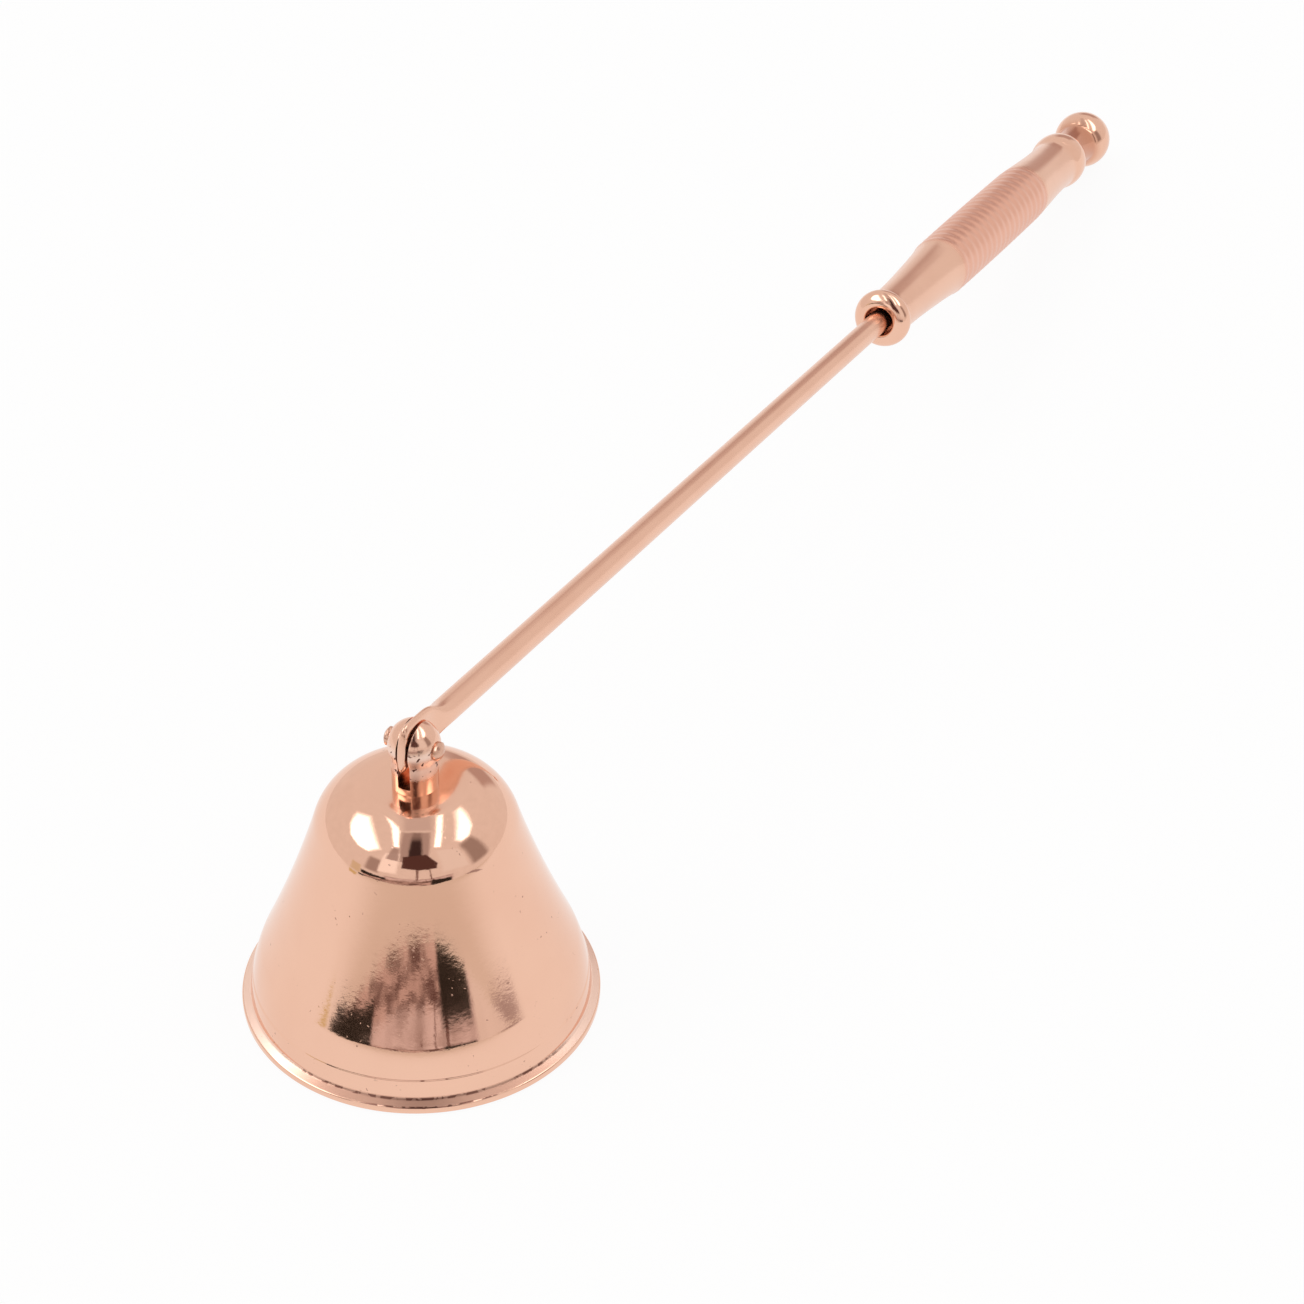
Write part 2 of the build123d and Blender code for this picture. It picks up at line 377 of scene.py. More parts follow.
# %% Rivet: turn it and lay it across
head_height = 0.7
head_chamfer = (0.03, 0.05)
dome_start = seat + head_height / 2
dome_rise = head_height / 2
dome_radius = (head_radius**2 + dome_rise**2) / (2 * dome_rise)
dome_edge = math.degrees(math.asin(head_radius / dome_radius))
dome = round_corner((0, dome_start + dome_rise - dome_radius), dome_radius, 90 - dome_edge, 90, 8)
half = [(pin_radius, 0), (pin_radius, seat), (head_radius - head_chamfer[0], seat)]
half += [(head_radius, seat + head_chamfer[1])] + dome
other_half = [(radius, -height) for radius, height in half[:0:-1]]
rivet = turn("rivet", other_half + half, 48)
settle(rivet, Matrix.Rotation(math.pi / 2, 4, "X"), pin_place)
smooth(rivet, 40)
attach(rivet, "bell_group")
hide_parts("pivot_pin")

# %% [markdown]
# ## The rod
#
# The rod is plain round wire whose end has been hammered flat into a tongue. The hammer makes the
# wire thinner and wider at once, and leaves two flat cheeks. So the shape starts as a circle that
# is extruded along the wire and scaled to an oval station by station, and then the vertices that
# stand outside the cheeks are pressed onto them by scaling to nothing across the tongue. The
# tongue reaches further down than up, since its eye sits a little below the wire's axis.
#
# Each station is a place along the wire with its half thickness, its top and its bottom.

# %% Rod: stations along the wire
wire_radius = 1.2
cheek = 0.38
tongue_end = 2.6
eye_radius = 0.65
socket_end = 120.8
stations = [
    (-2.25, 0.30, 1.30, 2.00),
    (-2.20, 0.38, 1.60, 2.20),
    (-2.08, 0.48, 1.80, 2.34),
    (-1.85, 0.58, 1.98, 2.40),
    (-1.45, 0.62, 2.10, 2.40),
    (0.00, 0.64, 2.10, 2.40),
    (1.20, 0.64, 2.10, 2.40),
    (1.90, 0.66, 2.04, 2.28),
    (2.60, 0.70, 1.86, 2.00),
    (3.10, 0.80, 1.66, 1.75),
    (3.60, 0.94, 1.48, 1.53),
    (4.20, 1.08, 1.30, 1.32),
    (5.00, 1.18, 1.21, 1.21),
]
stations += [(at, wire_radius, wire_radius, wire_radius) for at in (6, 30, 60, 90, socket_end)]
cheeks = {2.60: 0.40, 3.10: 0.52, 3.60: 0.74, 4.20: 0.98}
sections = [
    (at, thin, (top + bottom) / 2, (bottom - top) / 2) for at, thin, top, bottom in stations
]
print(f"tongue {2 * sections[5][2]:.1f} mm wide, its middle {sections[5][3]:.2f} mm below the axis")

# %% Rod: extrude the wire and press its cheeks
deselect_all()
bpy.ops.mesh.primitive_circle_add(vertices=64, radius=mm, fill_type="NGON", location=(0, 0, 0))
rod = bpy.context.object
rod.name = "wire_rod"
bpy.ops.object.mode_set(mode="EDIT")
bpy.ops.mesh.select_all(action="SELECT")
at, thin, wide, middle = sections[0]
bpy.ops.transform.resize(value=(wide, thin, 1))
bpy.ops.transform.translate(value=(middle * mm, 0, at * mm))
for section, following in zip(sections, sections[1:]):
    step = ((following[3] - section[3]) * mm, 0, (following[0] - section[0]) * mm)
    grow = (following[2] / section[2], following[1] / section[1], 1)
    middle = (following[3] * mm, 0, following[0] * mm)
    bpy.ops.mesh.extrude_region_move(TRANSFORM_OT_translate={"value": step})
    bpy.ops.transform.resize(value=grow, center_override=middle)
bpy.ops.object.mode_set(mode="OBJECT")

for station in stations:
    limit = cheeks.get(station[0], cheek if station[0] < tongue_end else None)
    if limit is None:
        continue
    for side in (-1, 1):
        deselect_all()
        rod.select_set(True)
        bpy.context.view_layer.objects.active = rod
        bpy.ops.object.mode_set(mode="EDIT")
        bpy.ops.mesh.select_all(action="DESELECT")
        bpy.ops.object.mode_set(mode="OBJECT")
        count = 0
        for vertex in rod.data.vertices:
            here = abs(vertex.co.z / mm - station[0]) < 0.02
            vertex.select = here and vertex.co.y * side > limit * mm
            count += vertex.select
        if count == 0:
            continue
        bpy.ops.object.mode_set(mode="EDIT")
        bpy.ops.transform.resize(value=(1, 0, 1), center_override=(0, side * limit * mm, 0))
        bpy.ops.object.mode_set(mode="OBJECT")

bpy.ops.object.mode_set(mode="EDIT")
bpy.ops.mesh.select_all(action="SELECT")
bpy.ops.mesh.normals_make_consistent(inside=False)
bpy.ops.object.mode_set(mode="OBJECT")
deselect_all()
eye = rod_turn.inverted() @ (pin_place - rod_foot)
bpy.ops.mesh.primitive_cylinder_add(
    vertices=40,
    radius=eye_radius * mm,
    depth=drill_end * mm,
    location=eye,
    rotation=(math.pi / 2, 0, 0),
)
eye_drill = bpy.context.object
bpy.ops.object.transform_apply(location=True, rotation=True, scale=True)
cut_away(rod, eye_drill)
settle(rod, rod_turn, rod_foot)
smooth(rod, 30)
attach(rod, "rod_group")
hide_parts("rod")
print(f"rod: {len(rod.data.polygons)} faces, {socket_end - stations[0][0]:.1f} mm long")

# %% [markdown]
# ## The handle
#
# The handle is one turned piece: a rounded ring at its mouth with a bore that the rod enters, a
# neck that swells into the grip, fine rings round the grip, a waist, a bead, a narrow cove and a
# ball. The rings are less than a tenth of a millimetre deep, yet they turn the grip's reflection
# into a soft, beaded sheen, so they are real geometry and not a bump.
#
# One helper writes an arc through three points, which is how the ring, the bead and the cove are
# read off a drawing: where they start, how far they stand out, and where they end.

# %% Handle: sizes and outline
mouth = 104.8
mouth_ring = 2.5
mouth_bore = 1.6
bore_floor = 108.8
mouth_edge = 0.25
grip_start = 123.0
grip_end = 150.4
ring_count = 18
ring_depth = 0.07
grip_radius = 3.47
grip_crown = 0.07
grip_middle = (grip_start + grip_end) / 2


def through(first, middle, last, steps):
    """Points on the circle through three (radius, station) points."""
    ax, ay = first
    bx, by = middle
    cx, cy = last
    d = 2 * (ax * (by - cy) + bx * (cy - ay) + cx * (ay - by))
    a2, b2, c2 = ax * ax + ay * ay, bx * bx + by * by, cx * cx + cy * cy
    centre = Vector((
        (a2 * (by - cy) + b2 * (cy - ay) + c2 * (ay - by)) / d,
        (a2 * (cx - bx) + b2 * (ax - cx) + c2 * (bx - ax)) / d,
    ))
    radius = (Vector(first) - centre).length
    start = math.atan2(ay - centre.y, ax - centre.x)
    middle_angle = (math.atan2(by - centre.y, bx - centre.x) - start) % math.tau
    sweep = (math.atan2(cy - centre.y, cx - centre.x) - start) % math.tau
    if middle_angle > sweep:
        sweep -= math.tau
    return round_corner(centre, radius, math.degrees(start), math.degrees(start + sweep), steps)


handle_outline = [(0, socket_end), (wire_radius, socket_end)]
handle_outline += [(wire_radius, bore_floor), (mouth_bore, bore_floor)]
edge_middle = (mouth_bore + mouth_edge, mouth + mouth_edge)
handle_outline += round_corner(edge_middle, mouth_edge, 180, 270, 5)
ring_middle = (3.2, mouth + mouth_ring / 2)
handle_outline += through((2.2, mouth), ring_middle, (2.6, mouth + mouth_ring), 20)
handle_outline += [(2.57, 107.55), (2.57, 108.2), (2.58, 109.0), (2.6, 110.2), (2.67, 112.6)]
handle_outline += [(2.76, 114.5), (2.88, 116.5), (3.04, 119.2), (3.22, 121.6), (3.36, 122.8)]
ring_pitch = (grip_end - grip_start) / ring_count
ring_steps = 10
for step in range(ring_count * ring_steps + 1):
    station = grip_start + ring_pitch * step / ring_steps
    crown = grip_radius - grip_crown * ((station - grip_middle) / (grip_end - grip_middle)) ** 2
    wave = math.sin(math.tau * step / ring_steps)
    handle_outline.append((crown + ring_depth / 2 * wave, station))
handle_outline += [(3.34, 151.6), (3.25, 153.2), (3.14, 155.3), (3.03, 157.4), (2.975, 159.5)]
handle_outline += [(2.96, 160.8), (2.965, 161.8)]
bead_end = (2.3, 167.0)
handle_outline += through((2.97, 162.2), (3.34, 164.6), bead_end, 24)[1:]
ball_neck = 2.53
ball_neck_station = ball_station - math.sqrt(ball_radius**2 - ball_neck**2)
handle_outline += through(bead_end, (2.3, 168.9), (ball_neck, ball_neck_station), 10)[1:]
neck_angle = math.degrees(math.atan2(ball_neck_station - ball_station, ball_neck))
handle_outline += round_corner((0, ball_station), ball_radius, neck_angle, 90, 36)[1:]

# %% Handle: turn it and lay it on the rod's axis
handle = turn("turned_handle", handle_outline, 96)
settle(handle, rod_turn, rod_foot)
smooth(handle, 40)
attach(handle, "rod_group")
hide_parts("handle")
print(f"grip rings every {ring_pitch:.2f} mm")

# %% [markdown]
# ## Writing finishes as sums
#
# A finish is a small calculation done at every point of a surface. Node editors hide that, so a
# tiny class lets the calculation be written with Python's own signs: adding two of its values adds
# a Math node. Anything that isn't a sum comes from one method that takes the node's type, its
# settings and its sockets.

# %% Helpers: sums of sockets, and nodes
class Amount:
    """A number that varies from point to point: one output socket of a node tree."""

    def __init__(self, board, socket):
        self.board = board
        self.socket = socket

    def sum_with(self, operation, first, second):
        return self.board.node("ShaderNodeMath", {"operation": operation}, {0: first, 1: second})

    def __add__(self, other):
        return self.sum_with("ADD", self, other)

    def __radd__(self, other):
        return self.sum_with("ADD", other, self)

    def __sub__(self, other):
        return self.sum_with("SUBTRACT", self, other)

    def __rsub__(self, other):
        return self.sum_with("SUBTRACT", other, self)

    def __mul__(self, other):
        return self.sum_with("MULTIPLY", self, other)

    def __rmul__(self, other):
        return self.sum_with("MULTIPLY", other, self)

    def __truediv__(self, other):
        return self.sum_with("DIVIDE", self, other)

    def least(self, other):
        return self.sum_with("MINIMUM", self, other)

    def most(self, other):
        return self.sum_with("MAXIMUM", self, other)


class Board:
    """The node tree of one finish, or of the studio."""

    def __init__(self, tree):
        self.tree = tree
        tree.nodes.clear()

    def node(self, kind, settings, sockets, output=0):
        made = self.tree.nodes.new(kind)
        for setting, value in settings.items():
            setattr(made, setting, value)
        for socket, value in sockets.items():
            if isinstance(value, Amount):
                self.tree.links.new(value.socket, made.inputs[socket])
            else:
                made.inputs[socket].default_value = value
        return Amount(self, made.outputs[output]) if made.outputs else made

    def ease(self, amount, low, high):
        """0 below low, 1 above high, and a smooth step between. High may be the smaller."""
        return self.node(
            "ShaderNodeMapRange",
            {"interpolation_type": "SMOOTHSTEP"},
            {"Value": amount, "From Min": low, "From Max": high, "To Min": 0.0, "To Max": 1.0},
        )

    def grain(self, place, size, detail=2.0, rough=0.5):
        """Soft noise from 0 to 1 with blobs of about the given size, in millimetres."""
        sockets = {"Vector": place, "Scale": 1 / (size * mm), "Detail": detail, "Roughness": rough}
        return self.node("ShaderNodeTexNoise", {}, sockets, "Fac")

    def blend(self, share, first, second):
        """Mixes two colours."""
        sockets = {0: share, 6: first, 7: second}
        return self.node("ShaderNodeMix", {"data_type": "RGBA"}, sockets, 2)

    def paint_over(self, colour, layers):
        """Mixes one layer after another over a colour: each is its share and its own colour."""
        for share, layer in layers:
            colour = self.blend(share, colour, layer)
        return colour

    def part(self, vector, axis):
        """The X, the Y or the Z of a vector."""
        return self.node("ShaderNodeSeparateXYZ", {}, {"Vector": vector}, axis)

    def panel(self, across, up, corners, soft):
        """1 inside a patch with straight sides, 0 outside. Corners run anticlockwise."""
        inside = None
        for (x0, y0), (x1, y1) in zip(corners, corners[1:] + corners[:1]):
            length = math.hypot(x1 - x0, y1 - y0)
            dx, dy = (x1 - x0) / length, (y1 - y0) / length
            side = up * (dx / soft) - across * (dy / soft) - (y0 * dx - x0 * dy) / soft
            inside = side if inside is None else inside.least(side)
        return self.ease(inside, 0.0, 1.0)

    def metal(self, colour, roughness, height):
        """Ends a finish as bare metal, with its relief in thousandths of a millimetre."""
        relief = {"Strength": 1.0, "Distance": mm / 1000, "Height": height}
        bump = self.node("ShaderNodeBump", {}, relief)
        look = {"Base Color": colour, "Metallic": 1.0, "Roughness": roughness, "Normal": bump}
        shader = self.node("ShaderNodeBsdfPrincipled", {}, look)
        self.node("ShaderNodeOutputMaterial", {}, {"Surface": shader})


def new_finish(name):
    """An empty finish and the board that it is drawn on."""
    material = bpy.data.materials.new(name)
    material.use_nodes = True
    return material, Board(material.node_tree)


def dress(piece, material):
    """Gives a piece its one finish."""
    piece.data.materials.clear()
    piece.data.materials.append(material)


# %% [markdown]
# ## Polished rose gold
#
# Rose-gold plating is a thin copper-rich layer over a casting. The layer copies whatever is under
# it: a slow waviness from the casting, a very fine orange peel from the polishing mop, and here
# and there a pit. None of these would show on a matt surface. On a mirror they are everything, as
# they fray the edge of each reflection, so they are bumps a few thousandths of a millimetre high.
#
# Each piece adds its own details: where it is stained or carries painted shade, where the casting's
# rough skin is left, where a painted sheen makes it paler, and how much duller it is there.

# %% Finish: polished rose gold
rose = (0.885, 0.555, 0.415, 1)
deep_rose = (0.80, 0.46, 0.33, 1)
tarnish_and_painted_shade = (0.16, 0.06, 0.045, 1)
pale_skin_and_sheen_rose = (0.96, 0.72, 0.61, 1)
pit_depth = 14.0


def polished_metal(name, wave, peel, pits, roughness, details):
    """Rose-gold plating with waviness and orange peel, in thousandths of a millimetre."""
    material, board = new_finish(name)
    place = board.node("ShaderNodeTexCoord", {}, {}, "Object")
    stain_and_painted_shade, skin, painted_sheen, dull = details(board, place)
    slow = board.grain(place, 5.0, 1.0)
    fine = board.grain(place, 0.55, 3.0, 0.6)
    patch = board.grain(place, 3.2, 3.0, 0.6)
    speck = board.grain(place, 0.42, 1.0)
    pit = board.ease(speck, 0.71, 0.76) * board.ease(patch, 0.52, 0.64) * pits
    pit = pit.most(board.ease(speck, 0.635, 0.67) * skin)
    cloud = board.ease(board.grain(place, 9.0, 3.0), 0.35, 0.7)
    # Dark layer: pits and stains, plus painted shade on the bell. Pale layer: the yoke's rough
    # skin, plus a painted sheen on the bell's flange.
    layers = [(cloud * 0.25, deep_rose), (skin + painted_sheen, pale_skin_and_sheen_rose), (pit.most(stain_and_painted_shade), tarnish_and_painted_shade)]
    haze = board.ease(board.grain(place, 6.0, 4.0, 0.65), 0.4, 0.75)
    board.metal(
        board.paint_over(rose, layers),
        haze * 0.02 + pit * 0.3 + dull + roughness,
        slow * wave + fine * peel - pit * pit_depth,
    )
    return material


# %% Finish: wear, casting skin and painted shade on each polished piece
photo_side = math.radians(212)
edge_height = flange_height - 0.02
flange_foot = (0.70, 0.76)
flange_head = (1.30, 1.12)
skin_foot = (25.2, 25.8)
skin_head = (29.0, 28.0)


def bell_details(board, place):
    """Painted shade in the foot's front corner and on the flange's front, a painted paler sheen on
    the flange's sides, and a softer crown.
    """
    x, y, z = [board.part(place, axis) / mm for axis in "XYZ"]
    facing = x * math.cos(photo_side) + y * math.sin(photo_side)
    breaks = board.ease(board.grain(place, 0.8, 2.0), 0.42, 0.52)
    corner_line = board.ease((z - belt_foot[1]).most(belt_foot[1] - z), 0.17, 0.06)
    edge_line = board.ease((z - edge_height).most(edge_height - z), 0.07, 0.02)
    edge_line = edge_line * board.ease(facing, 14.2, 15.2)
    flange_top = board.ease(z, *flange_foot) * board.ease(z, *flange_head)
    # Painted shade and dark reflection: broken dark lines in the front corner and along the front
    # edge, and a darker front flange top.
    stain_and_painted_shade = corner_line.most(edge_line) * breaks * board.ease(facing, 8.0, 12.5) * 0.9
    stain_and_painted_shade = stain_and_painted_shade.most(flange_top * board.ease(facing, 9.0, 13.0) * 0.5)
    # Painted sheen: the flange top is paler towards the sides and the back.
    painted_sheen = flange_top * board.ease(facing, 13.0, 8.0) * 0.8
    crown = board.ease(z, bell_height - 0.20, bell_height - 0.02)
    return stain_and_painted_shade, 0.0, painted_sheen, crown * 0.10 + flange_top * 0.3


def yoke_details(board, place):
    """A rough, pale casting skin between the polished knuckle and the polished foot."""
    z = board.part(place, "Z") / mm
    skin = board.ease(z, *skin_foot) * board.ease(z, *skin_head)
    return 0.0, skin, 0.0, skin * 0.26


def rivet_details(board, place):
    """Heads darkened in soft random blotches."""
    return board.grain(place, 0.8, 2.0) * 0.4, 0.0, 0.0, 0.10


dress(bell, polished_metal("bell_plating", 12.0, 3.0, 0.5, 0.05, bell_details))
dress(yoke, polished_metal("yoke_plating", 12.0, 8.0, 0.5, 0.13, yoke_details))
dress(rivet, polished_metal("rivet_plating", 6.0, 4.0, 0.0, 0.14, rivet_details))
print("finishes so far:", ", ".join(material.name for material in bpy.data.materials))

# %% [markdown]
# ## Drawn wire and the satin grip
#
# The rod is drawn through a die, which leaves faint lines along its length, so its noise is
# stretched along the rod. A Mapping node turns the pattern into the rod's own direction. The
# handle shares one finish in which the grip is satin and the rest is polished: the station along
# the handle decides which.

# %% Finish: drawn wire
def along_rod(board):
    """Object coordinates turned so that Z runs along the rod from above the pin."""
    place = board.node("ShaderNodeTexCoord", {}, {}, "Object")
    return board.node(
        "ShaderNodeMapping",
        {"vector_type": "TEXTURE"},
        {"Vector": place, "Location": rod_foot, "Rotation": (0, math.pi / 2 + rod_slope, 0)},
    )


def drawn_wire(name):
    """Rose-gold wire with fine lines along it."""
    material, board = new_finish(name)
    place = along_rod(board)
    stretched = board.node(
        "ShaderNodeMapping", {"vector_type": "POINT"}, {"Vector": place, "Scale": (1, 1, 0.012)}
    )
    lines = board.grain(stretched, 0.22, 3.0, 0.6)
    slow = board.grain(place, 7.0, 2.0)
    colour = board.blend(board.ease(slow, 0.4, 0.7) * 0.3, rose, deep_rose)
    board.metal(colour, 0.2 + lines * 0.06, lines * 5.0 + slow * 16.0)
    return material


dress(rod, drawn_wire("wire_plating"))
print(f"wire finish turned by {90 + math.degrees(rod_slope):.2f} degrees about Y")


# %% Finish: handle
satin_rose = (0.84, 0.46, 0.34, 1)
painted_cove_shade = (0.55, 0.19, 0.09, 1)
cove_in = (166.0, 167.2)
cove_out = (171.8, 170.2)
ring_out = (108.6, 107.4)
bead_in = (160.4, 161.6)


def handle_metal(name):
    """Polished ends, satin grip, and painted shade in the cove between bead and ball."""
    material, board = new_finish(name)
    place = along_rod(board)
    station = board.part(place, "Z") / mm
    satin = board.ease(station, grip_start - 0.6, grip_start + 0.3)
    satin = satin * board.ease(station, grip_end + 0.6, grip_end - 0.3)
    # Painted shade: the cove between bead and ball is darkened towards a deep orange-brown.
    cove_shade = board.ease(station, *cove_in) * board.ease(station, *cove_out)
    bright = board.ease(station, *ring_out).most(board.ease(station, *bead_in))
    slow = board.grain(place, 5.0, 2.0)
    fine = board.grain(place, 0.3, 3.0, 0.6)
    cloud = board.ease(board.grain(place, 6.0, 3.0), 0.35, 0.7)
    layers = [(cloud * 0.3, deep_rose), (satin * 0.9, satin_rose), (cove_shade * 0.7, painted_cove_shade)]
    board.metal(
        board.paint_over(rose, layers),
        0.2 + satin * 0.08 + cloud * 0.04 - bright * 0.10,
        slow * 14.0 + fine * (3.0 + satin * 9.0),
    )
    return material


dress(handle, handle_metal("handle_plating"))
print(f"satin from station {grip_start} to station {grip_end} mm")


# %% Finish: plated steel for the hidden washer and nut
def plated_steel(name):
    """Grey plated steel with a faint grain."""
    material, board = new_finish(name)
    place = board.node("ShaderNodeTexCoord", {}, {}, "Object")
    grain = board.grain(place, 0.3, 3.0)
    colour = board.blend(grain, (0.5, 0.49, 0.47, 1), (0.66, 0.64, 0.6, 1))
    board.metal(colour, 0.25 + grain * 0.15, grain * 12.0)
    return material


steel = plated_steel("plated_steel")
for name in ("washer", "nut"):
    dress(frame["nodes"][name], steel)
print("all finishes:", ", ".join(material.name for material in bpy.data.materials))

# %% [markdown]
# ## The table
#
# The floor is a plain pale table top. Its edge passes in front of the bell and the room begins
# behind it, as in any small studio. The camera never sees that edge, but the bell does: the dark
# zone low on its wall starts there. The floor is plain white to the camera. In reflections it
# carries a painted shadow, greyer and warmer towards its edge, with a grey sheet, a yellow card
# and a black card on it, which the bell shows low on its wall. It keeps a trace of plain diffuse
# white, so that the bell and the ball still cast a soft shadow.

# %% Table top
deselect_all()
table_width = 3.0
bpy.ops.mesh.primitive_plane_add(size=table_width, location=(0, 0, 0))
table = bpy.context.object
table.name = "table_top"
edges = [
    (Vector((-0.230, 0, 0)), Vector((1, 0, 0))),
    (Vector((-0.216, -0.086, 0)), Vector((0.803, 0.596, 0))),
]
bpy.ops.object.mode_set(mode="EDIT")
for edge_place, edge_normal in edges:
    bpy.ops.mesh.select_all(action="SELECT")
    bpy.ops.mesh.bisect(
        plane_co=edge_place, plane_no=edge_normal, clear_inner=True, clear_outer=False
    )
bpy.ops.object.mode_set(mode="OBJECT")
print("table corners:", [tuple(round(part, 3) for part in v.co[:2]) for v in table.data.vertices])

# %% Table: what reflections see of it
edge_side = math.radians(208)
sheet_corners = [(12, -98), (-46, -222), (-150, -470), (-70, -520), (-30, -360), (3, -178)]
yellow_corners = [(-95, 57), (-82, 73), (-162, 146), (-150, 90)]
black_corners = [(-152, 92), (-600, 350), (-600, 84), (-152, 72)]

table_paint, board = new_finish("table_white")
place = board.node("ShaderNodeTexCoord", {}, {}, "Object")
table_x = board.part(place, "X") / mm
table_y = board.part(place, "Y") / mm
towards_edge = table_x * math.cos(edge_side) + table_y * math.sin(edge_side)
layers = [
    # Painted shadow: greyer and warmer towards the table's edge, seen only in reflections.
    (board.ease(towards_edge, 30, 130), (0.76, 0.71, 0.65, 1)),
    (board.panel(table_x, table_y, sheet_corners, 4.0) * 0.9, (0.34, 0.26, 0.27, 1)),
    (board.panel(table_x, table_y, yellow_corners, 6.0), (0.69, 0.58, 0.28, 1)),
    (board.panel(table_x, table_y, black_corners, 3.0), (0.03, 0.022, 0.022, 1)),
]
mirrored = board.paint_over((0.97, 0.95, 0.94, 1), layers)
to_camera = board.node("ShaderNodeLightPath", {}, {}, "Is Camera Ray")
to_mirror = board.node("ShaderNodeLightPath", {}, {}, "Is Glossy Ray")
shown = board.blend(to_camera, mirrored, (1, 1, 1, 1))
matt = board.node("ShaderNodeBsdfDiffuse", {}, {"Color": (0.85, 0.85, 0.85, 1)})
white = board.node("ShaderNodeEmission", {}, {"Color": shown, "Strength": 1.0})
glow = to_camera.most(to_mirror) * 0.93
seen = board.node("ShaderNodeMixShader", {}, {0: glow, 1: matt, 2: white})
board.node("ShaderNodeOutputMaterial", {}, {"Surface": seen})
dress(table, table_paint)
print("layers on the table, as reflections see it:", len(layers))

# %% [markdown]
# ## The studio
#
# A mirror needs something to mirror. The studio is drawn as a picture in all directions: pale
# walls, two large soft windows of light high on either side, a strip light beside each, a dark
# boom overhead between them, and a dark stand with its card facing the bell. Low down, behind the
# table's edge, lies the clutter of a room. Each patch is placed by the slope of its direction,
# which is where it would lie on a ceiling or a wall, so its edges stay straight as those of real
# panels do. The clutter is placed by its compass direction. The camera itself sees plain white.

# %% Studio: directions as slopes
studio = bpy.data.worlds.new("studio")
bpy.context.scene.world = studio
studio.use_nodes = True
board = Board(studio.node_tree)
direction = board.node("ShaderNodeTexCoord", {}, {}, "Generated")
east, north, rise = [board.part(direction, axis) for axis in "XYZ"]
least_slope = 0.05
overhead = board.ease(rise, 0.05, 0.12)
ceiling_x = east / rise.most(least_slope)
ceiling_y = north / rise.most(least_slope)

front = math.radians(211)
forward = east * math.cos(front) + north * math.sin(front)
in_front = board.ease(forward, 0.08, 0.2)
wall_x = (north * math.cos(front) - east * math.sin(front)) / forward.most(least_slope)
wall_y = rise / forward.most(least_slope)
print("nodes for directions:", len(studio.node_tree.nodes))


# %% Studio: patches of light and dark
def grey(level, warm=0.0):
    """A grey with a touch of warmth."""
    return (level * (1 + warm), level, level * (1 - warm), 1)


def ceiling(corners, soft):
    """A patch on the ceiling."""
    return board.panel(ceiling_x, ceiling_y, corners, soft) * overhead


def wall(corners, soft):
    """A patch on the wall that the bell faces."""
    return board.panel(wall_x, wall_y, corners, soft) * in_front


def together(draw, patches):
    """Several patches drawn the same way and joined, each with its corners and softness."""
    joined = None
    for corners, soft in patches:
        patch = draw(corners, soft)
        joined = patch if joined is None else joined.most(patch)
    return joined


left_window = ceiling(
    [
        (0.20, 1.02), (0.03, 1.18), (-0.25, 1.38), (-0.74, 1.56), (-1.24, 1.30),
        (-1.40, 0.80), (-0.96, 0.31), (-0.41, 0.43), (0.20, 0.60),
    ],
    0.22,
)
right_window = ceiling(
    [
        (0.57, 0.02), (0.17, -0.50), (-0.04, -0.76), (0.04, -1.06), (0.36, -1.07),
        (0.62, -0.77), (0.74, -0.26), (0.81, 0.06),
    ],
    0.19,
)
near_half = [(-0.65, -0.02), (-0.06, 0.17), (-0.06, 0.31), (-0.67, 0.12)]
far_half = [(-0.16, 0.13), (0.03, 0.22), (0.21, 0.36), (0.37, 0.52), (0.10, 0.39), (-0.16, 0.27)]
left_strip = together(ceiling, [(near_half, 0.05), (far_half, 0.05)])
right_strip = ceiling([(-0.31, -0.72), (0.55, 0.06), (0.53, 0.16), (-0.38, -0.55)], 0.05)
boom_side = ceiling([(-0.10, 0.17), (-1.55, -0.20), (-1.08, -1.03), (0.07, -0.19)], 0.08)
boom = ceiling([(-0.05, 0.05), (-1.40, -0.42), (-1.13, -0.86), (0.0, -0.09)], 0.07)
past_zenith = ceiling([(0.06, -0.24), (0.82, 0.34), (0.70, 0.54), (-0.14, 0.16)], 0.10)
grey_gap = ceiling([(-0.66, -0.05), (-0.68, 0.14), (-1.50, 0.28), (-1.50, -0.22)], 0.08)
pale_left = wall([(-1.00, 0.20), (-0.40, 0.20), (-0.38, 1.30), (-1.00, 1.30)], 0.10)
pale_right = wall([(0.42, 0.20), (1.35, 0.20), (1.35, 1.40), (0.44, 1.40)], 0.10)
stand_card = wall(
    [(-0.36, 0.45), (0.01, 0.37), (0.36, 0.40), (0.41, 0.62), (0.20, 1.11), (-0.37, 1.01)], 0.03
)
legs = together(
    wall,
    [
        ([(-0.06, 0.06), (-0.02, 0.06), (0.00, 0.40), (-0.06, 0.40)], 0.012),
        ([(0.19, 0.06), (0.23, 0.06), (0.22, 0.40), (0.19, 0.40)], 0.012),
        ([(0.125, -0.02), (0.145, -0.02), (0.115, 0.085), (0.095, 0.085)], 0.006),
        ([(0.255, -0.02), (0.315, -0.02), (0.265, 0.085), (0.225, 0.085)], 0.010),
    ],
)
print("nodes with the patches:", len(studio.node_tree.nodes))


# %% Studio: the room's edge behind the table
def noise(vector, scale, detail, rough):
    """Soft noise from 0 to 1 over any vector."""
    sockets = {"Vector": vector, "Scale": scale, "Detail": detail, "Roughness": rough}
    return board.node("ShaderNodeTexNoise", {}, sockets, "Fac")


